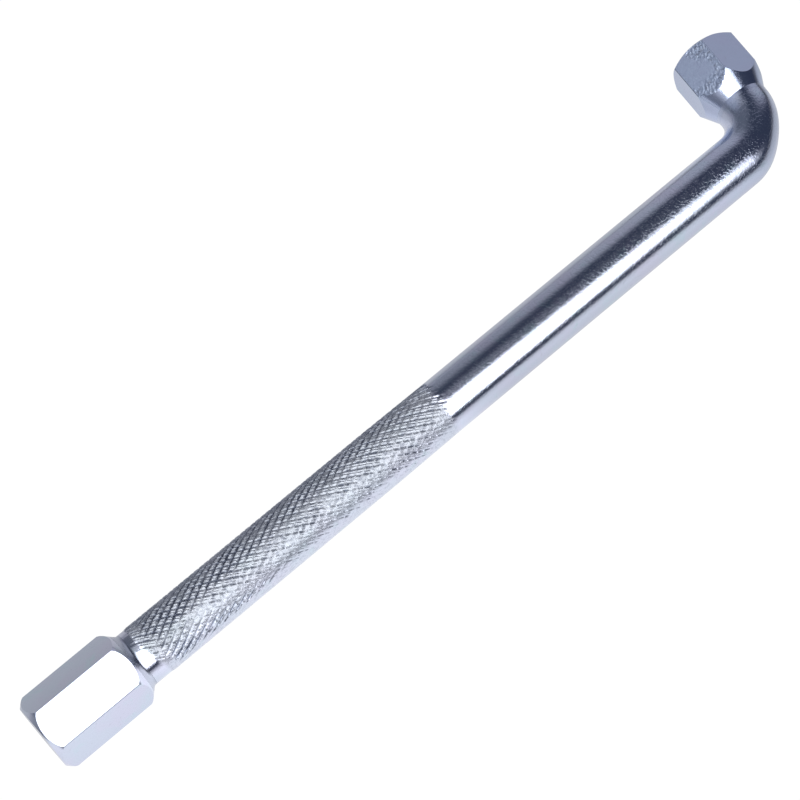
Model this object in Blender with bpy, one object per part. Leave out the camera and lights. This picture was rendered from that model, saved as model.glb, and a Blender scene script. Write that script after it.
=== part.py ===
"""Drain plug hex key.

A round bar with a short bent leg carries a hex head on a turned spigot at each
end, and a ring of braze filler closes each joint. The key lies flat on a table:
bar along X, bent leg towards +Y, +Z up, origin under its middle.
"""
import math

import bmesh
import bpy
from mathutils import Matrix, Vector

MM = 0.001
GAP = 0.3 * MM                    # left between pieces that touch

# Round bar. Stations along it start at the straight head's end face.
BAR_RADIUS = 7.0 * MM
BAR_SIDES = 48
KNURL_RADIUS = 7.15 * MM          # rolled knurl stands a little proud
KNURL_FROM = 28.4 * MM
KNURL_TO = 117.0 * MM
KNURL_EDGE = 0.4 * MM
LEG_X = 224.8 * MM                # where the leg's axis meets the bar's axis
BEND_RADIUS = 12.0 * MM           # on the bar's centre line
BEND_ANGLE = math.radians(81)     # the bend stops short of square
BEND_STEPS = 18
BEND_THINNING = 0.12              # the outside of a cold bend draws thin

# Turned ends of the bar
SPIGOT_RADIUS = 5.0 * MM
SPIGOT_CHAMFER = 0.6 * MM
BRAZE_GROOVE_RADIUS = 6.0 * MM
BAR_EDGE = 0.2 * MM

# Hex heads
HEX_ACROSS_FLATS = 17.0 * MM
HEX_EDGE_ROUND = 0.3 * MM
HEX_ENVELOPE = 9.95 * MM          # just outside the hex corners
TURNED_SIDES = 72
BORE_RADIUS = SPIGOT_RADIUS + GAP
BORE_SIDES = 40

STRAIGHT_HEAD_LENGTH = 25.2 * MM
STRAIGHT_FACE_RADIUS = 8.1 * MM   # 45 degree chamfers start here
STRAIGHT_HEAD_TURN = math.radians(21)
STRAIGHT_BORE_FLOOR = 10.3 * MM   # from the end face
STRAIGHT_RING_WIDTH = 1.1 * MM
STRAIGHT_RING_RISE = 0.8 * MM     # filler runs on from the head's chamfer

LEG_END = 30.3 * MM               # nose of the bent head, along the leg
BENT_HEAD_LENGTH = 18.7 * MM
BENT_NOSE_RADIUS = 16.0 * MM      # crown of the rounded nose
BENT_NOSE_FLAT = 3.0 * MM
BENT_NOSE_STEPS = 9
BENT_NECK_RADIUS = 7.05 * MM
BENT_SHOULDER = 12.7 * MM         # neck cone starts this far from the nose
BENT_BORE_FLOOR = 7.0 * MM        # from the nose
BENT_HEAD_TURN = math.radians(-25)
BENT_RING_WIDTH = 0.6 * MM
BENT_GROOVE_WIDTH = BENT_RING_WIDTH + GAP


class BarRim:
    """The open end of the bar while it is drawn out, turned and bent."""

    def __init__(self, start_x, radius):
        self.mesh = bmesh.new()
        self.centre = Vector((start_x, 0.0, 0.0))
        self.heading = Vector((1.0, 0.0, 0.0))
        self.radius = radius
        face_x = Matrix.Translation(self.centre) @ Matrix.Rotation(math.pi / 2, 4, "Y")
        bmesh.ops.create_circle(
            self.mesh, cap_ends=True, segments=BAR_SIDES, radius=radius, matrix=face_x)
        self.edges = list(self.mesh.edges)

    def draw(self, advance, radius):
        """Extrude the rim along the bar and bring it to a new radius."""
        made = bmesh.ops.extrude_edge_only(self.mesh, edges=self.edges)["geom"]
        verts = {item for item in made if isinstance(item, bmesh.types.BMVert)}
        self.centre = self.centre + self.heading * advance
        bmesh.ops.translate(self.mesh, verts=list(verts), vec=self.heading * advance)
        grow = radius / self.radius
        bmesh.ops.scale(
            self.mesh, verts=list(verts), vec=(grow, grow, grow),
            space=Matrix.Translation(-self.centre))
        self.edges = [edge for edge in self.mesh.edges if set(edge.verts) <= verts]
        self.radius = radius

    def draw_to(self, station, radius):
        """Extrude the rim along X up to a station."""
        self.draw(station - self.centre.x, radius)

    def bend(self, angle, bend_radius, steps, thinning):
        """Spin the rim about an upright axis on its left and thin the outside."""
        side = Vector((-self.heading.y, self.heading.x, 0.0))
        pivot = self.centre + side * bend_radius
        verts = {vert for edge in self.edges for vert in edge.verts}
        straight_part = set(self.mesh.verts)
        last = bmesh.ops.spin(
            self.mesh, geom=list(verts) + self.edges, cent=pivot, axis=(0.0, 0.0, 1.0),
            angle=angle, steps=steps)["geom_last"]
        self.edges = [item for item in last if isinstance(item, bmesh.types.BMEdge)]
        for vert in set(self.mesh.verts) - straight_part:
            arm = Vector((vert.co.x - pivot.x, vert.co.y - pivot.y, 0.0))
            outside = max(0.0, arm.length - bend_radius)
            share = arm.angle(-side) / angle
            pull = thinning * outside * math.sin(math.pi * share) ** 2
            vert.co -= arm.normalized() * pull
        turn = Matrix.Rotation(angle, 3, "Z")
        self.centre = pivot + turn @ (self.centre - pivot)
        self.heading = turn @ self.heading

    def close(self):
        """Cap the rim and hand over the finished mesh."""
        bmesh.ops.contextual_create(self.mesh, geom=self.edges)
        return self.mesh


def clear_scene():
    for old in list(bpy.data.objects):
        bpy.data.objects.remove(old, do_unlink=True)


def plated_steel(name, shade, roughness):
    """Bright zinc plate on steel."""
    material = bpy.data.materials.new(name)
    material.use_nodes = True
    shader = material.node_tree.nodes["Principled BSDF"]
    shader.inputs["Base Color"].default_value = (shade, shade, shade * 1.04, 1.0)
    shader.inputs["Metallic"].default_value = 1.0
    shader.inputs["Roughness"].default_value = roughness
    return material


def add_object(name, mesh, smooth=False):
    """Turn a finished bmesh into a named object in the scene."""
    bmesh.ops.recalc_face_normals(mesh, faces=mesh.faces)
    for face in mesh.faces:
        face.smooth = smooth
    data = bpy.data.meshes.new(name)
    mesh.to_mesh(data)
    mesh.free()
    part = bpy.data.objects.new(name, data)
    bpy.context.scene.collection.objects.link(part)
    return part


def add_cutter(name, mesh, placement):
    """A helper body that shapes a head and stays out of the build."""
    cutter = add_object(name, mesh, smooth=True)
    cutter.data.transform(placement)
    cutter.hide_render = True
    cutter.display_type = "WIRE"
    return cutter


def turned_profile(outline, sides, closed):
    """Revolve an outline of (station, radius) pairs about X, as on a lathe."""
    mesh = bmesh.new()
    points = [mesh.verts.new((station, radius, 0.0)) for station, radius in outline]
    lines = [mesh.edges.new(pair) for pair in zip(points, points[1:])]
    if closed:
        lines.append(mesh.edges.new((points[-1], points[0])))
    bmesh.ops.spin(
        mesh, geom=points + lines, cent=(0.0, 0.0, 0.0), axis=(1.0, 0.0, 0.0),
        angle=2.0 * math.pi, steps=sides, use_merge=True)
    bmesh.ops.remove_doubles(mesh, verts=mesh.verts, dist=0.001 * MM)
    if not closed:
        rims = [edge for edge in mesh.edges if edge.is_boundary]
        bmesh.ops.holes_fill(mesh, edges=rims, sides=0)
    return mesh


def hex_bar_blank(length):
    """A length of hex bar along X with one flat upwards and softened edges."""
    mesh = bmesh.new()
    corner_radius = HEX_ACROSS_FLATS / math.sqrt(3.0)
    face_x = Matrix.Rotation(math.pi / 2, 4, "Y")
    bmesh.ops.create_circle(
        mesh, cap_ends=True, segments=6, radius=corner_radius, matrix=face_x)
    made = bmesh.ops.extrude_face_region(mesh, geom=list(mesh.faces))["geom"]
    verts = [item for item in made if isinstance(item, bmesh.types.BMVert)]
    bmesh.ops.translate(mesh, verts=verts, vec=(length, 0.0, 0.0))
    long_edges = [
        edge for edge in mesh.edges
        if abs(edge.verts[0].co.x - edge.verts[1].co.x) > 0.5 * length]
    bmesh.ops.bevel(
        mesh, geom=long_edges, offset=HEX_EDGE_ROUND, segments=3, profile=0.5,
        affect="EDGES")
    return mesh


def hex_head(name, envelope, length, bore_floor, placement):
    """Hex bar turned to an envelope, then bored blind from its inner end."""
    head = add_object(name, hex_bar_blank(length))
    head.data.transform(placement)
    turning = add_cutter(name + "_turning", envelope, placement)
    bore_outline = [
        (bore_floor, BORE_RADIUS), (length + 1.0 * MM, BORE_RADIUS)]
    bore_mesh = turned_profile(bore_outline, BORE_SIDES, closed=False)
    bore = add_cutter(name + "_bore", bore_mesh, placement)
    for label, operation, cutter in (
            ("turn", "INTERSECT", turning), ("drill", "DIFFERENCE", bore)):
        cut = head.modifiers.new(label, "BOOLEAN")
        cut.operation = operation
        cut.solver = "EXACT"
        cut.object = cutter
    return head


def straight_envelope():
    """Both ends of the straight head are chamfered at 45 degrees."""
    depth = HEX_ENVELOPE - STRAIGHT_FACE_RADIUS
    outline = [
        (0.0, STRAIGHT_FACE_RADIUS),
        (depth, HEX_ENVELOPE),
        (STRAIGHT_HEAD_LENGTH - depth, HEX_ENVELOPE),
        (STRAIGHT_HEAD_LENGTH, STRAIGHT_FACE_RADIUS),
    ]
    return turned_profile(outline, TURNED_SIDES, closed=False)


def bent_envelope():
    """The bent head has a crowned nose and a long cone down to the bar."""
    crown = math.sqrt(BENT_NOSE_RADIUS ** 2 - BENT_NOSE_FLAT ** 2)
    outline = []
    for step in range(BENT_NOSE_STEPS + 1):
        share = step / BENT_NOSE_STEPS
        radius = BENT_NOSE_FLAT + (HEX_ENVELOPE - BENT_NOSE_FLAT) * share
        outline.append((crown - math.sqrt(BENT_NOSE_RADIUS ** 2 - radius ** 2), radius))
    outline.append((BENT_SHOULDER, HEX_ENVELOPE))
    outline.append((BENT_HEAD_LENGTH, BENT_NECK_RADIUS))
    return turned_profile(outline, TURNED_SIDES, closed=False)


def knurled_bar():
    """The shank from the straight spigot to the spigot on the bent leg."""
    rim = BarRim(STRAIGHT_BORE_FLOOR + GAP, SPIGOT_RADIUS - SPIGOT_CHAMFER)
    rim.draw(SPIGOT_CHAMFER, SPIGOT_RADIUS)
    shoulder = STRAIGHT_HEAD_LENGTH + GAP
    collar = shoulder + STRAIGHT_RING_WIDTH + GAP
    rim.draw_to(shoulder, SPIGOT_RADIUS)
    rim.draw(0.0, BRAZE_GROOVE_RADIUS)
    rim.draw_to(collar, BRAZE_GROOVE_RADIUS)
    rim.draw(0.0, BAR_RADIUS - BAR_EDGE)
    rim.draw(BAR_EDGE, BAR_RADIUS)
    rim.draw_to(KNURL_FROM, BAR_RADIUS)
    rim.draw(KNURL_EDGE, KNURL_RADIUS)
    rim.draw_to(KNURL_TO - KNURL_EDGE, KNURL_RADIUS)
    rim.draw(KNURL_EDGE, BAR_RADIUS)
    bend_end = BEND_RADIUS * math.tan(BEND_ANGLE / 2)
    rim.draw_to(LEG_X - bend_end, BAR_RADIUS)
    rim.bend(BEND_ANGLE, BEND_RADIUS, BEND_STEPS, BEND_THINNING)
    neck = LEG_END - BENT_HEAD_LENGTH - GAP
    rim.draw(neck - BENT_GROOVE_WIDTH - bend_end, BAR_RADIUS)
    rim.draw(0.0, BRAZE_GROOVE_RADIUS)
    rim.draw(BENT_GROOVE_WIDTH, BRAZE_GROOVE_RADIUS)
    rim.draw(0.0, SPIGOT_RADIUS)
    spigot_end = LEG_END - BENT_BORE_FLOOR - GAP
    rim.draw(spigot_end - SPIGOT_CHAMFER - neck, SPIGOT_RADIUS)
    rim.draw(SPIGOT_CHAMFER, SPIGOT_RADIUS - SPIGOT_CHAMFER)
    return add_object("shank_bar", rim.close(), smooth=True)


def straight_braze_ring():
    """Filler cone between the straight head's chamfer and the collar."""
    start = STRAIGHT_HEAD_LENGTH + GAP
    inner = BRAZE_GROOVE_RADIUS + GAP
    outline = [
        (start, inner),
        (start, BAR_RADIUS + STRAIGHT_RING_RISE),
        (start + STRAIGHT_RING_RISE, BAR_RADIUS),
        (start + STRAIGHT_RING_WIDTH, BAR_RADIUS),
        (start + STRAIGHT_RING_WIDTH, inner),
    ]
    mesh = turned_profile(outline, BAR_SIDES, closed=True)
    return add_object("straight_braze_ring", mesh, smooth=True)


def bent_braze_ring(placement):
    """Filler wiped flush with the bar under the bent head's neck."""
    start = BENT_HEAD_LENGTH + GAP
    inner = BRAZE_GROOVE_RADIUS + GAP
    outline = [
        (start, inner),
        (start, BENT_NECK_RADIUS),
        (start + BENT_RING_WIDTH, BAR_RADIUS),
        (start + BENT_RING_WIDTH, inner),
    ]
    mesh = turned_profile(outline, BAR_SIDES, closed=True)
    ring = add_object("bent_braze_ring", mesh, smooth=True)
    ring.data.transform(placement)
    return ring


def set_on_table(parts):
    """Move everything so the origin is under the middle of the key."""
    graph = bpy.context.evaluated_depsgraph_get()
    corners = []
    for part in parts:
        shape = part.evaluated_get(graph).to_mesh()
        corners.extend(vert.co.copy() for vert in shape.vertices)
    low = Vector([min(co[axis] for co in corners) for axis in range(3)])
    high = Vector([max(co[axis] for co in corners) for axis in range(3)])
    middle = (low + high) / 2
    shift = Matrix.Translation((-middle.x, -middle.y, -low.z))
    for item in bpy.data.objects:
        item.data.transform(shift)


def build_key():
    clear_scene()
    on_bar = Matrix.Rotation(STRAIGHT_HEAD_TURN, 4, "X")
    nose = Vector((
        LEG_X + LEG_END * math.cos(BEND_ANGLE), LEG_END * math.sin(BEND_ANGLE), 0.0))
    on_leg = (
        Matrix.Translation(nose) @ Matrix.Rotation(BEND_ANGLE + math.pi, 4, "Z"))
    bar = knurled_bar()
    straight_head = hex_head(
        "straight_hex_head", straight_envelope(), STRAIGHT_HEAD_LENGTH,
        STRAIGHT_BORE_FLOOR, on_bar)
    bent_head = hex_head(
        "bent_hex_head", bent_envelope(), BENT_HEAD_LENGTH, BENT_BORE_FLOOR,
        on_leg @ Matrix.Rotation(BENT_HEAD_TURN, 4, "X"))
    straight_ring = straight_braze_ring()
    bent_ring = bent_braze_ring(on_leg)
    finishes = (
        (bar, "bar_plate", 0.74, 0.24),
        (straight_head, "straight_head_plate", 0.76, 0.20),
        (bent_head, "bent_head_plate", 0.70, 0.30),
        (straight_ring, "straight_filler_plate", 0.78, 0.32),
        (bent_ring, "bent_filler_plate", 0.72, 0.32),
    )
    for part, name, shade, roughness in finishes:
        part.data.materials.append(plated_steel(name, shade, roughness))
    set_on_table([row[0] for row in finishes])


build_key()
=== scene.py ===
"""Looks of the drain plug hex key.

A bright zinc plated key lies on a white table: a knurled round bar with a short
bent leg, and a hex head brazed to each end. Stations run along the bar from the
straight head's end face, and along the leg from the bent head's nose.
"""

import math

import bpy
import numpy as np
from mathutils import Matrix, Vector, noise


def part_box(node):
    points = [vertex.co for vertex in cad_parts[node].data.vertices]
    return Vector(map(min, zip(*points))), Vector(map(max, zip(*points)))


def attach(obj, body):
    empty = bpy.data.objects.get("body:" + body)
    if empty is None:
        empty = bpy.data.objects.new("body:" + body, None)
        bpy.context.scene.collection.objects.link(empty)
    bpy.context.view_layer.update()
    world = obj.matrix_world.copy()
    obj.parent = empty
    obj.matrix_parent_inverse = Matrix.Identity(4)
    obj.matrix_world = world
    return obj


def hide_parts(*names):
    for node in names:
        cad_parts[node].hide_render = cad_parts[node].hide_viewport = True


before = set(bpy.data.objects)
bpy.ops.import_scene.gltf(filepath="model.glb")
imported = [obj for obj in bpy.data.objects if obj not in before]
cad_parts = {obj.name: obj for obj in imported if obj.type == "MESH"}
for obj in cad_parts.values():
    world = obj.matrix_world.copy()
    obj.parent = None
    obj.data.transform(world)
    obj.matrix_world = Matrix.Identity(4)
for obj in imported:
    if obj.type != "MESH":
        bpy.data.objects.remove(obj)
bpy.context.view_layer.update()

MM = 0.001
GAP = 0.3 * MM                    # left between the CAD pieces that touch
FILLER_GAP = 0.02 * MM            # all that the filler leaves of it
WELD = 0.01 * MM                  # points closer than this become one

# Round bar
BAR_RADIUS = 7.0 * MM
COLLAR_EDGE = 0.04 * MM
SPIGOT_RADIUS = 5.0 * MM
SPIGOT_CHAMFER = 0.6 * MM
BRAZE_GROOVE_RADIUS = 6.0 * MM
LEG_X = 224.8 * MM
BEND_RADIUS = 12.0 * MM
BEND_ANGLE = math.radians(81)
BEND_STEPS = 40
BEND_THINNING = 0.12              # the outside of a cold bend draws thin
SMOOTH_BAR_STEPS = 12
LEG_END = 30.3 * MM

# Rolled diamond knurl. Sides are angles round the bar: 0 is the bent leg's side, 90 is up.
KNURL_FROM = 28.4 * MM
KNURL_TO = 119.6 * MM
KNURL_RADIUS = 7.15 * MM
KNURL_DEPTH = 0.33 * MM
KNURL_LEAD = math.radians(60)     # side where the rolls bit first
KNURL_LAG = 1.8 * MM              # how much later they bit a quarter turn from there
KNURL_HARD = math.radians(40)     # side where the steep set was pressed hardest
KNURL_LOW = math.radians(158)     # side where it was pressed again, near the collar
KNURL_LIGHT = math.radians(194)   # side where the rolls hardly marked the bar
STEEP_HALF_WIDTH = 0.28           # half widths of the grooves, as shares of a tooth
FINE_HALF_WIDTH = 0.24
SLIP_HALF_WIDTH = 0.17
CROSSING_HALF_WIDTH = 0.2
FINE_SHARE = 0.7                  # depth of the fine set against the steep set
SLIP_SHARE = 0.35                 # depth of the slipped line against its groove
TEETH_ROUND = 25
TEETH_ALONG = 30
STEPS_PER_TOOTH = 6
BAR_SIDES = TEETH_ROUND * STEPS_PER_TOOTH

# Hex heads
HEX_ACROSS_FLATS = 17.0 * MM
HEX_CORNER = HEX_ACROSS_FLATS / math.sqrt(3.0)
HEX_EDGE_ROUND = 0.06 * MM
WORN_EDGE_ROUND = 0.12 * MM
EDGE_SEGMENTS = 4
BY_THE_CORNER = 0.95 * HEX_CORNER
HEX_ENVELOPE = 9.95 * MM
TURNED_SIDES = 144
BORE_RADIUS = SPIGOT_RADIUS + GAP
BORE_SIDES = 64
STRAIGHT_LENGTH = 25.2 * MM
STRAIGHT_FACE_RADIUS = 8.1 * MM
STRAIGHT_TURN = math.radians(21)
STRAIGHT_BORE_FLOOR = 10.3 * MM
STRAIGHT_RING_WIDTH = 1.1 * MM
BENT_LENGTH = 18.7 * MM
BENT_NOSE_RADIUS = 16.0 * MM
BENT_NOSE_FLAT = 3.0 * MM
BENT_NOSE_STEPS = 14
BENT_NECK_RADIUS = 7.05 * MM
BENT_SHOULDER = 12.7 * MM
BENT_BORE_FLOOR = 7.0 * MM
BENT_TURN = math.radians(-25)
BENT_RING_WIDTH = 0.6 * MM
BENT_GROOVE_WIDTH = BENT_RING_WIDTH + GAP
# The edge that is rounder and painted dark as a painted reflection
STRAIGHT_PAINTED_REFLECTION_EDGE = 30           # in degrees round a head from its top flat
BENT_PAINTED_REFLECTION_EDGE = 90
PITTED_FLAT = 60
PIT_HEIGHT = 0.26 * MM
PIT_CUTS = 84
PIT_SEED = 7                      # the same forging scale on every run

# Where the two axes lie in the frame
HEAD_LOW, HEAD_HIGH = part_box("straight_hex_head")
BAR_START = Vector((HEAD_LOW.x, *((HEAD_LOW + HEAD_HIGH) / 2).yz))
LEG_DIRECTION = Vector((math.cos(BEND_ANGLE), math.sin(BEND_ANGLE), 0.0))
ON_BAR = Matrix.Translation(BAR_START)
ON_LEG = (
    Matrix.Translation(BAR_START + Vector((LEG_X, 0.0, 0.0)) + LEG_DIRECTION * LEG_END)
    @ Matrix.Rotation(BEND_ANGLE + math.pi, 4, "Z"))

# Camera: straight down, then turned and leaned as the photograph was taken
CAMERA_AIM = Vector((-6.35, -2.23, 9.3)) * MM
CAMERA_DISTANCE = 546.28 * MM
CAMERA_ROLL = math.radians(-39.44)
CAMERA_LEAN_SIDE = math.radians(-13)
CAMERA_LEAN_FRONT = math.radians(24)
CAMERA_LENS = 104.85
CAMERA_FRAME = 36.0
CAMERA_REACH = 20.0

# White table
TABLE_SIZE = 8.0
TABLE_DROP = 0.1 * MM             # keeps it clear of the key's underside
WHITE = (1.0, 1.0, 1.0, 1.0)
BLACK = (0.0, 0.0, 0.0, 1.0)

# Softbox, as read from the edges of the highlights
SOFTBOX_PLAN = math.radians(-88.7)
SOFTBOX_LEAN = math.radians(-16.2)
SOFTBOX_PLACE = Vector((1.77, -0.74, 1.0))
SOFTBOX_SIZE = (3.62, 2.49)
SOFTBOX_POWER = 45.0


def start_clean():
    """Object mode with nothing selected."""
    if bpy.context.mode != "OBJECT":
        bpy.ops.object.mode_set(mode="OBJECT")
    bpy.ops.object.select_all(action="DESELECT")


def pick(piece):
    """Object mode with this piece alone selected and active."""
    start_clean()
    piece.select_set(True)
    bpy.context.view_layer.objects.active = piece


def edit_selected(piece, kind, rule):
    """Edit mode with only the edges or faces selected that pass the rule."""
    pick(piece)
    bpy.ops.object.mode_set(mode="EDIT")
    bpy.ops.mesh.select_mode(type="EDGE" if kind == "edges" else "FACE")
    bpy.ops.mesh.select_all(action="DESELECT")
    bpy.ops.object.mode_set(mode="OBJECT")
    for item in piece.data.edges if kind == "edges" else piece.data.polygons:
        item.select = rule(item)
    bpy.ops.object.mode_set(mode="EDIT")


def select_open_edges():
    """In edit mode, only the edges selected that bound a hole."""
    bpy.ops.mesh.select_all(action="DESELECT")
    bpy.ops.mesh.select_non_manifold(
        use_wire=False, use_multi_face=False, use_non_contiguous=False, use_verts=False)


def apply_modifier(piece, kind, **settings):
    """Add one modifier, set it and apply it."""
    pick(piece)
    modifier = piece.modifiers.new(kind.title(), kind)
    for name, value in settings.items():
        setattr(modifier, name, value)
    bpy.ops.object.modifier_apply(modifier=modifier.name)


def put_in_place(piece, placement):
    """Apply a placement to the mesh, so the object itself stays at the origin."""
    pick(piece)
    piece.matrix_world = placement
    bpy.ops.object.transform_apply(location=True, rotation=True, scale=True)


def points_of(piece):
    """The mesh's vertices as rows of x, y, z."""
    flat = np.empty(len(piece.data.vertices) * 3)
    piece.data.vertices.foreach_get("co", flat)
    return flat.reshape(-1, 3)


def move_points(piece, points):
    """Put the mesh's vertices at rows of x, y, z."""
    piece.data.vertices.foreach_set("co", points.ravel())
    piece.data.update()


def smooth_step(low, high, value):
    """0 up to low, 1 from high on and smooth in between."""
    share = np.clip((value - low) / (high - low), 0.0, 1.0)
    return share * share * (3.0 - 2.0 * share)


class Rim:
    """The open rim of a tube in edit mode, drawn out, resized and bent by hand."""

    def __init__(self, name, sides, station, radius):
        start_clean()
        bpy.ops.mesh.primitive_circle_add(
            vertices=sides, radius=radius, fill_type="NOTHING",
            location=(station, 0.0, 0.0), rotation=(0.0, math.pi / 2, 0.0))
        self.piece = bpy.context.object
        self.piece.name = name
        bpy.ops.object.transform_apply(location=True, rotation=True, scale=True)
        bpy.ops.object.mode_set(mode="EDIT")
        bpy.ops.mesh.select_mode(type="VERT")
        bpy.ops.mesh.select_all(action="SELECT")
        self.centre = Vector((station, 0.0, 0.0))
        self.heading = Vector((1.0, 0.0, 0.0))
        self.radius = radius

    def draw(self, advance, radius):
        """Extrude the rim along its heading and bring it to a new radius."""
        step = self.heading * advance
        bpy.ops.mesh.extrude_region_move(TRANSFORM_OT_translate={"value": step})
        self.centre = self.centre + step
        if radius != self.radius:
            size = radius / self.radius
            bpy.ops.transform.resize(value=(size, size, size), center_override=self.centre)
        self.radius = radius

    def draw_to(self, station, radius):
        """Extrude the rim along X up to a station."""
        self.draw(station - self.centre.x, radius)

    def turn(self, angle):
        """Turn the rim about the bar's axis."""
        bpy.ops.transform.rotate(
            value=angle, orient_axis="X", center_override=self.centre)

    def bend(self, angle, bend_radius, steps):
        """Spin the rim about an upright axis on its left."""
        side = Vector((-self.heading.y, self.heading.x, 0.0))
        pivot = self.centre + side * bend_radius
        bpy.ops.mesh.spin(steps=steps, angle=-angle, center=pivot, axis=(0.0, 0.0, 1.0))
        turn = Matrix.Rotation(angle, 3, "Z")
        self.centre = pivot + turn @ (self.centre - pivot)
        self.heading = turn @ self.heading

    def finish(self, ends):
        """Close the open ends, each with a cap or one to the other."""
        if ends != "open":
            select_open_edges()
            if ends == "capped":
                bpy.ops.mesh.fill_holes(sides=0)
            else:
                bpy.ops.mesh.bridge_edge_loops()
            bpy.ops.mesh.select_all(action="SELECT")
            bpy.ops.mesh.normals_make_consistent(inside=False)
        start_clean()
        return self.piece


def knurl_blank():
    """A plain tube whose edges already follow both helixes of the knurl."""
    tooth = (KNURL_TO - KNURL_FROM) / TEETH_ALONG
    rows = 2 * STEPS_PER_TOOTH
    half_step = math.pi / BAR_SIDES
    rim = Rim("knurl_blank", BAR_SIDES, KNURL_FROM, BAR_RADIUS)
    for row in range(rows):
        rim.draw(tooth / rows, BAR_RADIUS)
        rim.turn(half_step if row % 2 == 0 else -half_step)
    blank = rim.finish("open")
    apply_modifier(
        blank, "ARRAY", count=TEETH_ALONG, use_relative_offset=False,
        use_constant_offset=True, constant_offset_displace=(tooth, 0.0, 0.0),
        use_merge_vertices=True, merge_threshold=WELD)
    return blank


def groove(phase, half_width):
    """Depth of one rolled groove, from 0 on the land to 1 in its root."""
    away = np.abs(phase - np.round(phase))
    return np.clip(1.0 - away / half_width, 0.0, 1.0)


def roll_wobble(angle, x):
    """Slow waver, patches and quick chatter of the rolls, each between -1 and 1."""
    return [
        np.array([
            noise.noise((math.cos(a) * across, math.sin(a) * across, px / MM * along))
            for a, px in zip(angle, x)])
        for across, along in ((2.6, 0.12), (5.0, 0.45), (9.0, 1.1))]


def hard_side(angle, start):
    """1 where the steep set was pressed hard, a side that narrows along the grip."""
    limit = 0.44 + 0.35 * smooth_step(0.0, 75.0 * MM, start)
    return smooth_step(limit - 0.15, limit + 0.15, np.cos(angle - KNURL_HARD))


def other_sides(angle, start):
    """Depth of the steep set elsewhere: it soon fades, and last of all low down."""
    fading = 0.7 - 0.6 * smooth_step(2.0 * MM, 24.0 * MM, start)
    low_down = np.exp(-((angle - KNURL_LOW) / 0.2) ** 2)
    return fading + low_down * (1.0 - smooth_step(22.0 * MM, 40.0 * MM, start))


def light_side(angle):
    """Share of the depth that is missing where the rolls hardly marked the bar."""
    away = (angle - KNURL_LIGHT + math.pi) % (2.0 * math.pi) - math.pi
    return 0.6 * np.exp(-away ** 2 / 0.15)


def fine_pressure(angle, start, to_end, waver, patchy):
    """Depth of the fine set: uneven, deeper past the middle, weak low on the bar."""
    uneven = np.clip(0.75 + 0.6 * waver + 0.6 * patchy, 0.35, 1.2) * (1.0 - light_side(angle))
    uneven = uneven * (1.0 + 0.4 * smooth_step(45.0 * MM, 68.0 * MM, start))
    near_side = -np.cos(angle)
    low_down = smooth_step(0.3, 0.9, near_side)
    soft_end = smooth_step(0.2, 0.55, near_side) * (
        1.0 - smooth_step(3.0 * MM, 14.0 * MM, to_end))
    return uneven * (1.0 - 0.4 * low_down) * (1.0 - 0.55 * soft_end)


def roll_knurl(bar):
    """Press both sets of grooves into the bar and paint their marks: dirt with painted shade in
    the grooves, a dulled grip.

    Both sets fade in behind the collar and out where the rolls lifted. The second roll
    slipped once, so a faint line lies halfway between its grooves, and the steep set
    breaks its grooves up away from the hard side.
    """
    x, y, z = points_of(bar).T
    radius = np.hypot(y, z)
    angle = np.arctan2(z, y)
    on_grip = (x > KNURL_FROM - WELD) & (x < KNURL_TO + WELD)
    along = (x - KNURL_FROM) * TEETH_ALONG / (KNURL_TO - KNURL_FROM)
    round_bar = angle * TEETH_ROUND / (2.0 * math.pi)
    steep_set = round_bar + along
    fine_set = round_bar - along

    waver, patchy, chatter = roll_wobble(angle, x)
    lag = KNURL_LAG * (1.0 - np.cos(angle - KNURL_LEAD))
    start = x - KNURL_FROM - lag + 0.6 * MM * waver
    to_end = KNURL_TO - x
    steep_end = to_end - 4.0 * MM * waver
    fine_end = to_end - 1.5 * MM * np.abs(chatter)
    bite = np.where(on_grip, 1.0 + 0.45 * chatter, 0.0)

    hard = hard_side(angle, start)
    steep = smooth_step(1.2 * MM, 4.0 * MM, start) * smooth_step(2.0 * MM, 16.0 * MM, steep_end)
    steep = steep * (hard + (1.0 - hard) * other_sides(angle, start)) * (1.0 - light_side(angle))
    steep_cut = groove(steep_set, STEEP_HALF_WIDTH) * steep * (0.95 + 0.3 * waver + 0.4 * patchy)

    fine = smooth_step(-0.4 * MM, 0.8 * MM, start) * smooth_step(0.2 * MM, 3.0 * MM, fine_end)
    slipped = SLIP_SHARE * groove(fine_set + 0.5, SLIP_HALF_WIDTH)
    broken = 0.85 * groove(steep_set, CROSSING_HALF_WIDTH) * (1.0 - hard)
    fine_cut = (groove(fine_set, FINE_HALF_WIDTH) + slipped) * fine
    fine_cut = fine_cut * fine_pressure(angle, start, to_end, waver, patchy)
    fine_cut = fine_cut * (1.0 + 0.9 * hard - broken)

    rolled = np.where(on_grip, np.clip(np.maximum(steep, fine), 0.0, 1.0), 0.0)
    raised = rolled * smooth_step(0.0, 22.0 * MM, to_end)
    pressed = np.maximum(steep_cut, fine_cut * FINE_SHARE) * bite
    new_radius = radius + (KNURL_RADIUS - BAR_RADIUS) * raised - KNURL_DEPTH * pressed
    share = np.where(on_grip, new_radius / radius, 1.0)
    move_points(bar, np.column_stack((x, y * share, z * share)))

    upper_side = 0.4 + 0.6 * smooth_step(0.3, 0.95, np.sin(angle))
    # The grooves' paint is part dirt, part painted shade in the recesses.
    marks = {
        "groove_dirt": np.maximum(steep_cut, 0.5 * fine_cut) * bite,
        "dulled": rolled * smooth_step(0.0, 4.0 * MM, to_end) * upper_side,
    }
    for name, values in marks.items():
        layer = bar.data.attributes.new(name, "FLOAT", "POINT")
        layer.data.foreach_set("value", values)


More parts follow.
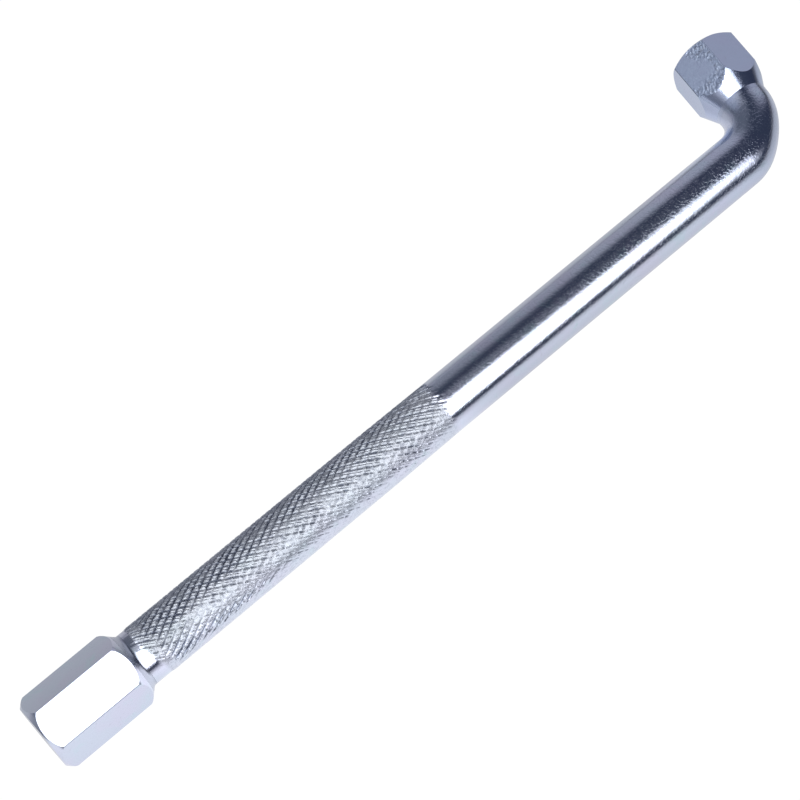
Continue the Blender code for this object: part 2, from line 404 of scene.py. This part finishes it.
def thin_the_bend(bar):
    """A cold bend draws thin along its outside."""
    points = points_of(bar)
    pivot = np.array((
        LEG_X - BEND_RADIUS * math.tan(BEND_ANGLE / 2), BEND_RADIUS))
    arm = points[:, :2] - pivot
    reach = np.hypot(arm[:, 0], arm[:, 1])
    share = np.arctan2(arm[:, 0], -arm[:, 1]) / BEND_ANGLE
    in_bend = (share > 0.0) & (share < 1.0) & (reach < BEND_RADIUS + 1.2 * BAR_RADIUS)
    pull = BEND_THINNING * np.maximum(0.0, reach - BEND_RADIUS) * np.sin(math.pi * share) ** 2
    points[:, :2] -= np.where(in_bend, pull / reach, 0.0)[:, None] * arm
    move_points(bar, points)


def knurled_bar():
    """The shank: spigot, collar, knurled grip, smooth bar, bend and leg."""
    rim = Rim("front", BAR_SIDES, STRAIGHT_BORE_FLOOR + GAP, SPIGOT_RADIUS - SPIGOT_CHAMFER)
    shoulder = STRAIGHT_LENGTH + GAP
    collar = shoulder + STRAIGHT_RING_WIDTH + GAP
    rim.draw(SPIGOT_CHAMFER, SPIGOT_RADIUS)
    rim.draw_to(shoulder, SPIGOT_RADIUS)
    rim.draw(0.0, BRAZE_GROOVE_RADIUS)
    rim.draw_to(collar, BRAZE_GROOVE_RADIUS)
    rim.draw(0.0, BAR_RADIUS - COLLAR_EDGE)
    rim.draw(0.4 * COLLAR_EDGE, BAR_RADIUS - 0.3 * COLLAR_EDGE)
    rim.draw(0.6 * COLLAR_EDGE, BAR_RADIUS)
    rim.draw_to(KNURL_FROM, BAR_RADIUS)
    front = rim.finish("open")

    bend_end = BEND_RADIUS * math.tan(BEND_ANGLE / 2)
    rim = Rim("back", BAR_SIDES, KNURL_TO, BAR_RADIUS)
    for step in range(1, SMOOTH_BAR_STEPS + 1):
        share = step / SMOOTH_BAR_STEPS
        rim.draw_to(KNURL_TO + (LEG_X - bend_end - KNURL_TO) * share, BAR_RADIUS)
    rim.bend(BEND_ANGLE, BEND_RADIUS, BEND_STEPS)
    neck = LEG_END - BENT_LENGTH - GAP
    rim.draw(neck - BENT_GROOVE_WIDTH - bend_end, BAR_RADIUS)
    rim.draw(0.0, BRAZE_GROOVE_RADIUS)
    rim.draw(BENT_GROOVE_WIDTH, BRAZE_GROOVE_RADIUS)
    rim.draw(0.0, SPIGOT_RADIUS)
    rim.draw(LEG_END - BENT_BORE_FLOOR - GAP - SPIGOT_CHAMFER - neck, SPIGOT_RADIUS)
    rim.draw(SPIGOT_CHAMFER, SPIGOT_RADIUS - SPIGOT_CHAMFER)
    back = rim.finish("open")

    grip = knurl_blank()
    start_clean()
    for part in (front, back, grip):
        part.select_set(True)
    bpy.context.view_layer.objects.active = grip
    bpy.ops.object.join()
    grip.name = "knurled_bar"
    bpy.ops.object.mode_set(mode="EDIT")
    bpy.ops.mesh.select_all(action="SELECT")
    bpy.ops.mesh.remove_doubles(threshold=0.5 * WELD)
    select_open_edges()
    bpy.ops.mesh.fill_holes(sides=0)
    bpy.ops.mesh.select_all(action="SELECT")
    bpy.ops.mesh.normals_make_consistent(inside=False)
    bpy.ops.mesh.quads_convert_to_tris(quad_method="SHORTEST_DIAGONAL")
    start_clean()
    roll_knurl(grip)
    thin_the_bend(grip)
    put_in_place(grip, ON_BAR)
    return grip


def turned_cutter(name, outline, sides):
    """A turned body from pairs of station and radius."""
    rim = Rim(name, sides, *outline[0])
    for station, radius in outline[1:]:
        rim.draw_to(station, radius)
    return rim.finish("capped")


def spoke(degrees):
    """Direction across a head, so many degrees round from its top flat."""
    spin = math.radians(degrees)
    return Vector((0.0, -math.sin(spin), math.cos(spin)))


def hex_head(name, length, envelope, bore_floor, worn_edge, shape_flats=None):
    """Hex bar with rounded edges, turned to an envelope and bored for the spigot.

    One edge has rubbed in the plugs: it is rounder, and its faces are painted dark, a painted
    reflection of a dark band.
    """
    start_clean()
    bpy.ops.mesh.primitive_cylinder_add(
        vertices=6, radius=HEX_CORNER, depth=length,
        location=(length / 2, 0.0, 0.0), rotation=(0.0, math.pi / 2, 0.0))
    head = bpy.context.object
    head.name = name
    bpy.ops.object.transform_apply(location=True, rotation=True, scale=True)

    towards_painted_reflection = spoke(worn_edge)

    def at_painted_reflection_edge(place):
        return place.dot(towards_painted_reflection) > BY_THE_CORNER

    def runs_along(edge, worn):
        first, second = (head.data.vertices[index].co for index in edge.vertices)
        return abs(first.x - second.x) > 0.5 * length and at_painted_reflection_edge(first) == worn

    for worn, edge_round in ((True, WORN_EDGE_ROUND), (False, HEX_EDGE_ROUND)):
        edit_selected(head, "edges", lambda edge: runs_along(edge, worn))
        bpy.ops.mesh.bevel(
            offset=edge_round, segments=EDGE_SEGMENTS, profile=0.5, affect="EDGES")
    if shape_flats:
        shape_flats(head)
    cutters = (
        (turned_cutter("turning", envelope, TURNED_SIDES), "INTERSECT"),
        (turned_cutter(
            "drill", [(bore_floor, BORE_RADIUS), (length + 1.0 * MM, BORE_RADIUS)],
            BORE_SIDES), "DIFFERENCE"),
    )
    for cutter, operation in cutters:
        apply_modifier(head, "BOOLEAN", operation=operation, solver="EXACT", object=cutter)
        bpy.data.objects.remove(cutter, do_unlink=True)
    # Painted reflection: the faces along that edge are painted dark.
    paint = head.data.attributes.new("worn_edge", "FLOAT", "FACE")
    for face, value in zip(head.data.polygons, paint.data):
        along_edge = abs(face.normal.x) < 0.1 and face.normal.dot(towards_painted_reflection) > 0.9
        value.value = float(along_edge and at_painted_reflection_edge(face.center))
    return head


def straight_head():
    """The hex on the straight end, chamfered on the lathe at both ends.

    The outer half of each chamfer runs out in a curve.
    """
    depth = HEX_ENVELOPE - STRAIGHT_FACE_RADIUS
    chamfer = [(0.0, STRAIGHT_FACE_RADIUS), (0.5 * depth, STRAIGHT_FACE_RADIUS + 0.5 * depth)]
    for share in (0.25, 0.5, 0.75, 1.0):
        chamfer.append((
            depth * (0.5 + 1.2 * share),
            HEX_ENVELOPE - 0.5 * depth * (1.0 - share) ** 2.4))
    envelope = chamfer + [
        (STRAIGHT_LENGTH - station, radius) for station, radius in reversed(chamfer)]
    head = hex_head(
        "straight_head", STRAIGHT_LENGTH, envelope, STRAIGHT_BORE_FLOOR, STRAIGHT_PAINTED_REFLECTION_EDGE)
    put_in_place(head, ON_BAR @ Matrix.Rotation(STRAIGHT_TURN, 4, "X"))
    return head


def pitting(place):
    """The flat's direction, the share of forging scale on it at a place, and its lumps.

    The scale is heavy at the nose corner, along the upper edge and round the arc to
    the cone, and nearly gone elsewhere. Places on the flat are worked out in mm.
    """
    facing = spoke(PITTED_FLAT)
    width = place.dot(spoke(PITTED_FLAT - 90))
    if place.dot(facing) < 0.5 * HEX_ACROSS_FLATS - 0.2 * MM or abs(width) > 4.8 * MM:
        return facing, 0.0, 0.0
    spot = Vector((place.x, width, 0.0)) / MM
    ragged = 0.8 * noise.noise(spot * 0.6) + 0.5 * noise.noise(spot * 1.6)
    corner = 1.0 - smooth_step(1.8, 4.4, math.hypot(spot.x - 3.6, spot.y - 3.0) + ragged)
    upper_edge = 0.8 * smooth_step(1.9, 3.4, spot.y + ragged)
    by_the_cone = 0.75 * smooth_step(10.6, 12.6, spot.x + 0.06 * spot.y ** 2 + ragged)
    share = max(corner, upper_edge, by_the_cone, 0.06)
    share = share * (1.0 - smooth_step(4.5 * MM, 4.8 * MM, abs(width)))
    warp = spot + 0.35 * noise.noise_vector(spot * 1.2)
    lumps = 0.8 * abs(noise.noise(warp * 0.75)) + 0.35 * noise.noise(warp * 1.6)
    lumps = lumps + 0.25 * noise.noise(warp * 2.6) - 0.22
    return facing, share, share * lumps


def pit_the_flat(head):
    """Press the forging scale into the flat, on a mesh fine enough for it.

    All faces end as triangles, so that the later cuts come out the same every time.
    """
    edit_selected(head, "faces", lambda face: face.normal.dot(spoke(PITTED_FLAT)) > 0.999)
    bpy.ops.mesh.subdivide(number_cuts=PIT_CUTS)
    start_clean()
    noise.seed_set(PIT_SEED)
    for vertex in head.data.vertices:
        direction, _, lumps = pitting(vertex.co)
        vertex.co = vertex.co + direction * (PIT_HEIGHT * lumps)
    edit_selected(head, "faces", lambda face: True)
    bpy.ops.mesh.quads_convert_to_tris(quad_method="SHORTEST_DIAGONAL")
    start_clean()


def bent_head():
    """The hex on the bent leg: crowned nose, long cone to the neck, one pitted flat."""
    crown = math.sqrt(BENT_NOSE_RADIUS ** 2 - BENT_NOSE_FLAT ** 2)
    envelope = []
    for step in range(BENT_NOSE_STEPS + 1):
        radius = BENT_NOSE_FLAT + (HEX_ENVELOPE - BENT_NOSE_FLAT) * step / BENT_NOSE_STEPS
        envelope.append((crown - math.sqrt(BENT_NOSE_RADIUS ** 2 - radius ** 2), radius))
    envelope.append((BENT_SHOULDER, HEX_ENVELOPE))
    envelope.append((BENT_LENGTH, BENT_NECK_RADIUS))
    head = hex_head(
        "bent_head", BENT_LENGTH, envelope, BENT_BORE_FLOOR, BENT_PAINTED_REFLECTION_EDGE, pit_the_flat)
    scale = head.data.attributes.new("forging_scale", "FLOAT", "FACE")
    for face, value in zip(head.data.polygons, scale.data):
        facing, share, _ = pitting(face.center)
        value.value = 0.5 + 0.5 * share if share and face.normal.dot(facing) > 0.7 else 0.0
    put_in_place(head, ON_LEG @ Matrix.Rotation(BENT_TURN, 4, "X"))
    return head


def straight_filler():
    """Braze in a hollow curve from the straight head's edge down to the collar."""
    start = STRAIGHT_LENGTH + FILLER_GAP
    end = STRAIGHT_LENGTH + 2.0 * GAP + STRAIGHT_RING_WIDTH - FILLER_GAP
    inner = BRAZE_GROOVE_RADIUS + FILLER_GAP
    rise = STRAIGHT_FACE_RADIUS - 2.0 * FILLER_GAP - BAR_RADIUS
    rim = Rim("straight_filler", BAR_SIDES, start, inner)
    rim.draw(0.0, BAR_RADIUS + rise)
    for share in (0.12, 0.3, 0.5, 0.7, 0.85, 1.0):
        rim.draw_to(start + 1.15 * rise * share, BAR_RADIUS + rise * (1.0 - share) ** 1.2)
    rim.draw_to(end, BAR_RADIUS)
    rim.draw(0.0, inner)
    ring = rim.finish("bridged")
    put_in_place(ring, ON_BAR)
    return ring


def bent_filler():
    """Braze wiped flush between the bent head's neck and the bar."""
    start = BENT_LENGTH + FILLER_GAP
    end = BENT_LENGTH + GAP + BENT_GROOVE_WIDTH - FILLER_GAP
    inner = BRAZE_GROOVE_RADIUS + FILLER_GAP
    rim = Rim("bent_filler", BAR_SIDES, start, inner)
    rim.draw(0.0, BENT_NECK_RADIUS)
    rim.draw_to(end, BAR_RADIUS)
    rim.draw(0.0, inner)
    ring = rim.finish("bridged")
    put_in_place(ring, ON_LEG)
    return ring


class Value:
    """A shader socket that Python's own operators work on."""

    def __init__(self, nodes, socket):
        self.nodes = nodes
        self.socket = socket

    def maths(self, operation, first, second):
        return self.nodes.add("ShaderNodeMath", {"operation": operation}, {0: first, 1: second})

    def __add__(self, other):
        return self.maths("ADD", self, other)

    def __radd__(self, other):
        return self.maths("ADD", other, self)

    def __sub__(self, other):
        return self.maths("SUBTRACT", self, other)

    def __rsub__(self, other):
        return self.maths("SUBTRACT", other, self)

    def __mul__(self, other):
        return self.maths("MULTIPLY", self, other)

    def __rmul__(self, other):
        return self.maths("MULTIPLY", other, self)

    def __pow__(self, other):
        return self.maths("POWER", self, other)

    def at_least(self, low):
        return self.maths("MAXIMUM", self, low)


class Nodes:
    """A node tree filled through one method."""

    def __init__(self, owner):
        owner.use_nodes = True
        self.tree = owner.node_tree
        self.tree.nodes.clear()

    def add(self, kind, settings=None, inputs=None, output=0):
        """One node: its settings first, then the values or links of its sockets.

        Gives the named output, or a list where several are named.
        """
        node = self.tree.nodes.new(kind)
        for name, value in (settings or {}).items():
            if name == "stops":
                self.set_stops(node.color_ramp, value)
            else:
                setattr(node, name, value)
        for name, value in (inputs or {}).items():
            if isinstance(value, Value):
                self.tree.links.new(value.socket, node.inputs[name])
            else:
                node.inputs[name].default_value = value
        if isinstance(output, tuple):
            return [Value(self, node.outputs[name]) for name in output]
        return Value(self, node.outputs[output]) if len(node.outputs) else None

    @staticmethod
    def set_stops(ramp, stops):
        """Give a ramp its positions and colours."""
        while len(ramp.elements) < len(stops):
            ramp.elements.new(1.0)
        for element, (position, colour) in zip(ramp.elements, stops):
            element.position = position
            element.color = (*colour, 1.0)

    def ease(self, value, low, high):
        """0 at low, 1 at high and smooth in between."""
        return self.add(
            "ShaderNodeMapRange", {"interpolation_type": "SMOOTHSTEP"},
            {"Value": value, "From Min": low, "From Max": high})

    def blend(self, share, first, second):
        """Mix two colours."""
        return self.add(
            "ShaderNodeMix", {"data_type": "RGBA"},
            {"Factor": share, 6: first, 7: second}, output=2)


ZINC = (0.66, 0.72, 0.85, 1.0)
ZINC_LAVENDER = (0.68, 0.70, 0.85, 1.0)
ZINC_AQUA = (0.62, 0.74, 0.84, 1.0)
ZINC_BLUE = (0.52, 0.62, 0.87, 1.0)
ZINC_PALE = (0.68, 0.80, 1.0, 1.0)
ZINC_GREY = (0.505, 0.535, 0.57, 1.0)
ZINC_DULL = (0.40, 0.43, 0.52, 1.0)
# Dark for dirt and painted shade in the grooves, dark specks, and a painted dark reflection on
# one hex edge.
GROOVE_DARK = (0.13, 0.15, 0.21, 1.0)


def zinc_plate(name, roughness, grain_height, stain=ZINC, stain_share=0.0, marks=None):
    """Blue white zinc plate: cloudy tint, fine grain, pocks and a few dull specks.

    The marks are "knurl" for dirt and painted shade in the grooves and a dulled grip, "edge" for
    a hex edge painted dark as a painted reflection, or "scale" for such an edge and a rough
    forged flat.
    """
    material = bpy.data.materials.new(name)
    nodes = Nodes(material)
    place = nodes.add("ShaderNodeTexCoord", output=3)

    def cloud(size, detail):
        return nodes.add(
            "ShaderNodeTexNoise", {},
            {"Vector": place, "Scale": 1.0 / size, "Detail": detail, "Roughness": 0.6})

    def painted(layer):
        return nodes.add("ShaderNodeAttribute", {"attribute_name": layer}, output=2)

    along = nodes.add("ShaderNodeSeparateXYZ", {}, {0: place}, "X")
    pock_share = 0.12 + nodes.ease(along, 0.0, 90 * MM) * 0.12
    tint = nodes.blend(nodes.ease(cloud(9 * MM, 2.0), 0.38, 0.66), ZINC, ZINC_LAVENDER)
    tint = nodes.blend(nodes.ease(cloud(5 * MM, 3.0), 0.52, 0.75), tint, ZINC_AQUA)
    tint = nodes.blend(stain_share, tint, stain)
    specks = nodes.ease(cloud(0.7 * MM, 4.0), 0.62, 0.74)
    tint = nodes.blend(specks * 0.4, tint, ZINC_DULL)
    sheen = roughness + (cloud(2.2 * MM, 4.0) - 0.5) * 0.10 + specks * 0.10
    pocks = nodes.ease(cloud(0.6 * MM, 2.0), 0.51, 0.60)
    height = cloud(0.3 * MM, 1.0) * 0.3 + cloud(2.4 * MM, 1.0) * 0.3 - pocks * pock_share
    if marks == "knurl":
        tint = nodes.blend(nodes.ease(along, 60 * MM, 110 * MM) * 0.35, tint, ZINC_BLUE)
        tint = nodes.blend(painted("dulled") * 0.8, tint, ZINC_GREY)
        mottled = nodes.ease(cloud(0.8 * MM, 2.0), 0.48, 0.64)
        tint = nodes.blend(painted("dulled") * mottled * 0.5, tint, GROOVE_DARK)
        # Dirt and painted shade: the grooves are darkened as if in shade.
        dirt_and_shade = nodes.ease(painted("groove_dirt"), 0.2, 0.9)
        tint = nodes.blend(dirt_and_shade * 0.92, tint, GROOVE_DARK)
        sheen = sheen + painted("dulled") * 0.37
        height = height + painted("dulled") * cloud(0.6 * MM, 2.0) * 1.8
    # Painted reflection: a dark line along one hex edge.
    if marks in ("edge", "scale"):
        tint = nodes.blend(painted("worn_edge") * 0.75, tint, GROOVE_DARK)
    if marks == "scale":
        scaled = nodes.ease(painted("forging_scale"), 0.55, 0.9)
        sheen = sheen + nodes.ease(painted("forging_scale"), 0.0, 0.5) * 0.22 - scaled * 0.10
        pale = 0.5 + nodes.ease(cloud(1.1 * MM, 3.0), 0.40, 0.62) * 0.5
        tint = nodes.blend(pale * painted("forging_scale"), tint, ZINC_PALE)
        pits = nodes.ease(cloud(0.9 * MM, 3.0), 0.54, 0.66)
        tint = nodes.blend(pits * scaled * 0.6, tint, ZINC_DULL)
    normal = nodes.add(
        "ShaderNodeBump", {}, {"Height": height, "Distance": grain_height, "Strength": 1.0})
    shader = nodes.add(
        "ShaderNodeBsdfPrincipled", {},
        {"Base Color": tint, "Metallic": 1.0, "Roughness": sheen, "Normal": normal})
    nodes.add("ShaderNodeOutputMaterial", {}, {"Surface": shader})
    return material


def finish_piece(piece, node, material, smooth_angle, level_flats=False):
    """Material, shading, and the CAD node that the piece stands for."""
    pick(piece)
    bpy.ops.object.shade_smooth_by_angle(angle=math.radians(smooth_angle))
    if level_flats:
        apply_modifier(piece, "WEIGHTED_NORMAL", keep_sharp=True, weight=100)
    piece.data.materials.clear()
    piece.data.materials.append(material)
    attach(piece, "root")
    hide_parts(node)


def white_table():
    """White where the camera looks; in the plate it shows painted light, bright only close to
    the key, with painted shade under the key and far off.
    """
    start_clean()
    bpy.ops.mesh.primitive_plane_add(size=TABLE_SIZE, location=(0.0, 0.0, -TABLE_DROP))
    table = bpy.context.object
    table.name = "table"
    material = bpy.data.materials.new("white_table")
    nodes = Nodes(material)
    place = nodes.add("ShaderNodeTexCoord", output=3)
    x, y = nodes.add("ShaderNodeSeparateXYZ", {}, {0: place}, ("X", "Y"))
    aside = y - BAR_START.y
    beyond = (x - 100 * MM).at_least(0.0) * 1.9
    distance = (aside * aside + beyond * beyond) ** 0.5
    # Painted reflection of the table: a little darker under the key as a painted shadow,
    # brightest a few centimetres off, then fading.
    painted_reflection = nodes.add(
        "ShaderNodeValToRGB", {"stops": (
            (0.0, (0.66, 0.66, 0.68)), (0.024, (0.72, 0.72, 0.74)), (0.06, (0.80, 0.80, 0.82)),
            (0.16, (0.70, 0.70, 0.72)), (0.26, (0.50, 0.50, 0.53)), (0.52, (0.26, 0.26, 0.29)))},
        {"Fac": distance * 2.0})
    # Painted light and shade in the reflection: darker on the far side and past the bend,
    # lighter beside the grip and in the bend.
    far_side = (
        nodes.ease(aside, 2 * MM, 30 * MM) - nodes.ease(aside, 90 * MM, 300 * MM) * 1.8) * 0.33
    near_side = nodes.ease(aside, 5 * MM, -5 * MM) * nodes.ease(aside, -70 * MM, -30 * MM)
    by_the_grip = near_side * (
        nodes.ease(x, 20 * MM, -10 * MM) * 0.5 - nodes.ease(x, -82 * MM, -94 * MM) * 0.25)
    in_the_bend = nodes.ease(x, 85 * MM, 97 * MM) * nodes.ease(aside, 0.0, 12 * MM) * 0.17
    past_the_bend = (
        nodes.ease(x, 95 * MM, 130 * MM) * 0.3 + nodes.ease(x, 150 * MM, 230 * MM) * 0.35)
    strength = 1.0 + by_the_grip + in_the_bend - far_side - past_the_bend
    seen, glossy, clear = nodes.add("ShaderNodeLightPath", output=(
        "Is Camera Ray", "Is Glossy Ray", "Is Transmission Ray"))
    painted_reflection = nodes.add(
        "ShaderNodeVectorMath", {"operation": "SCALE"}, {0: painted_reflection, "Scale": strength})
    colour = nodes.blend(glossy + clear, BLACK, painted_reflection)
    colour = nodes.blend(seen, colour, WHITE)
    glow = nodes.add("ShaderNodeEmission", {}, {"Color": colour, "Strength": 1.0})
    paint = nodes.add("ShaderNodeBsdfDiffuse", {}, {"Color": (0.03, 0.03, 0.03, 1.0)})
    both = nodes.add("ShaderNodeAddShader", {}, {0: glow, 1: paint})
    nodes.add("ShaderNodeOutputMaterial", {}, {"Surface": both})
    table.data.materials.append(material)


# Pale patches of the room: azimuth, elevation, inner and outer angle, share, grey
ROOM_PATCHES = (
    (180, 6, 20, 60, 0.8, (0.26, 0.27, 0.30, 1.0)),
    (100, 30, 10, 40, 0.6, (0.20, 0.21, 0.24, 1.0)),
    (40, 13, 22, 42, 1.0, (0.44, 0.44, 0.49, 1.0)),
    (186, 63, 25, 48, 1.0, (0.62, 0.62, 0.65, 1.0)),
    (136, 38, 6, 24, 0.6, (0.44, 0.46, 0.54, 1.0)),
)


def studio_room():
    """A dark room with a grey far wall, pale patches and a soft edge round the lamp."""
    world = bpy.data.worlds.new("studio_room")
    bpy.context.scene.world = world
    nodes = Nodes(world)
    direction = nodes.add("ShaderNodeTexCoord", output=0)
    y, z = nodes.add("ShaderNodeSeparateXYZ", {}, {0: direction}, ("Y", "Z"))

    def patch(azimuth, elevation, inner, outer):
        """Full within the inner angle of a direction, gone at the outer one."""
        azimuth, elevation = math.radians(azimuth), math.radians(elevation)
        centre = (
            math.cos(azimuth) * math.cos(elevation), math.sin(azimuth) * math.cos(elevation),
            math.sin(elevation))
        near = nodes.add(
            "ShaderNodeVectorMath", {"operation": "DOT_PRODUCT"},
            {0: direction, 1: centre}, output="Value")
        return nodes.ease(near, math.cos(math.radians(outer)), math.cos(math.radians(inner)))

    room = (0.04, 0.048, 0.075, 1.0)
    far_wall = nodes.ease(y, 0.1, 0.5) * nodes.ease(z, 0.30, 0.08)
    room = nodes.blend(far_wall, room, (0.33, 0.33, 0.37, 1.0))
    for azimuth, elevation, inner, outer, share, grey in ROOM_PATCHES:
        lit = patch(azimuth, elevation, inner, outer) * share
        room = nodes.blend(lit, room, grey)
    lamp_edge = nodes.ease(y * -1.0, 0.5, 0.8) * nodes.ease(z, 0.16, 0.42)
    room = nodes.blend(lamp_edge, room, (0.60, 0.60, 0.62, 1.0))
    seen = nodes.add("ShaderNodeLightPath", output="Is Camera Ray")
    room = nodes.blend(seen, room, WHITE)
    shader = nodes.add("ShaderNodeBackground", {}, {"Color": room, "Strength": 1.0})
    nodes.add("ShaderNodeOutputWorld", {}, {"Surface": shader})


def softbox():
    """One large oval softbox over the near side of the key."""
    turned = Matrix.Rotation(SOFTBOX_PLAN, 4, "Z") @ Matrix.Rotation(SOFTBOX_LEAN, 4, "X")
    bpy.ops.object.light_add(type="AREA")
    lamp = bpy.context.object
    lamp.name = "softbox"
    lamp.matrix_world = turned @ Matrix.Translation(SOFTBOX_PLACE)
    lamp.data.shape = "ELLIPSE"
    lamp.data.size, lamp.data.size_y = SOFTBOX_SIZE
    lamp.data.energy = SOFTBOX_POWER
    lamp.visible_camera = False


def photo_camera():
    """The photograph's own view of the key."""
    data = bpy.data.cameras.new("photo_camera")
    data.sensor_width = CAMERA_FRAME
    data.lens = CAMERA_LENS
    data.clip_end = CAMERA_REACH
    camera = bpy.data.objects.new("photo_camera", data)
    bpy.context.scene.collection.objects.link(camera)
    camera.matrix_world = (
        Matrix.Translation(CAMERA_AIM)
        @ Matrix.Rotation(CAMERA_LEAN_FRONT, 4, "X")
        @ Matrix.Rotation(CAMERA_LEAN_SIDE, 4, "Y")
        @ Matrix.Rotation(CAMERA_ROLL, 4, "Z")
        @ Matrix.Translation((0.0, 0.0, CAMERA_DISTANCE)))
    bpy.context.scene.camera = camera


bpy.context.scene.view_settings.view_transform = "Standard"
photo_camera()
studio_room()
softbox()
white_table()
finish_piece(
    knurled_bar(), "shank_bar",
    zinc_plate("bar_zinc", roughness=0.14, grain_height=0.048 * MM, marks="knurl"),
    smooth_angle=14)
finish_piece(
    straight_head(), "straight_hex_head",
    zinc_plate("straight_head_zinc", roughness=0.16, grain_height=0.012 * MM, marks="edge"),
    smooth_angle=24, level_flats=True)
finish_piece(
    bent_head(), "bent_hex_head",
    zinc_plate(
        "bent_head_zinc", roughness=0.18, grain_height=0.02 * MM,
        stain=ZINC_BLUE, stain_share=0.6, marks="scale"),
    smooth_angle=24, level_flats=True)
finish_piece(
    straight_filler(), "straight_braze_ring",
    zinc_plate(
        "straight_filler_zinc", roughness=0.22, grain_height=0.03 * MM,
        stain=ZINC_DULL, stain_share=0.5),
    smooth_angle=40)
finish_piece(
    bent_filler(), "bent_braze_ring",
    zinc_plate(
        "bent_filler_zinc", roughness=0.18, grain_height=0.03 * MM,
        stain=ZINC_BLUE, stain_share=0.5),
    smooth_angle=40)
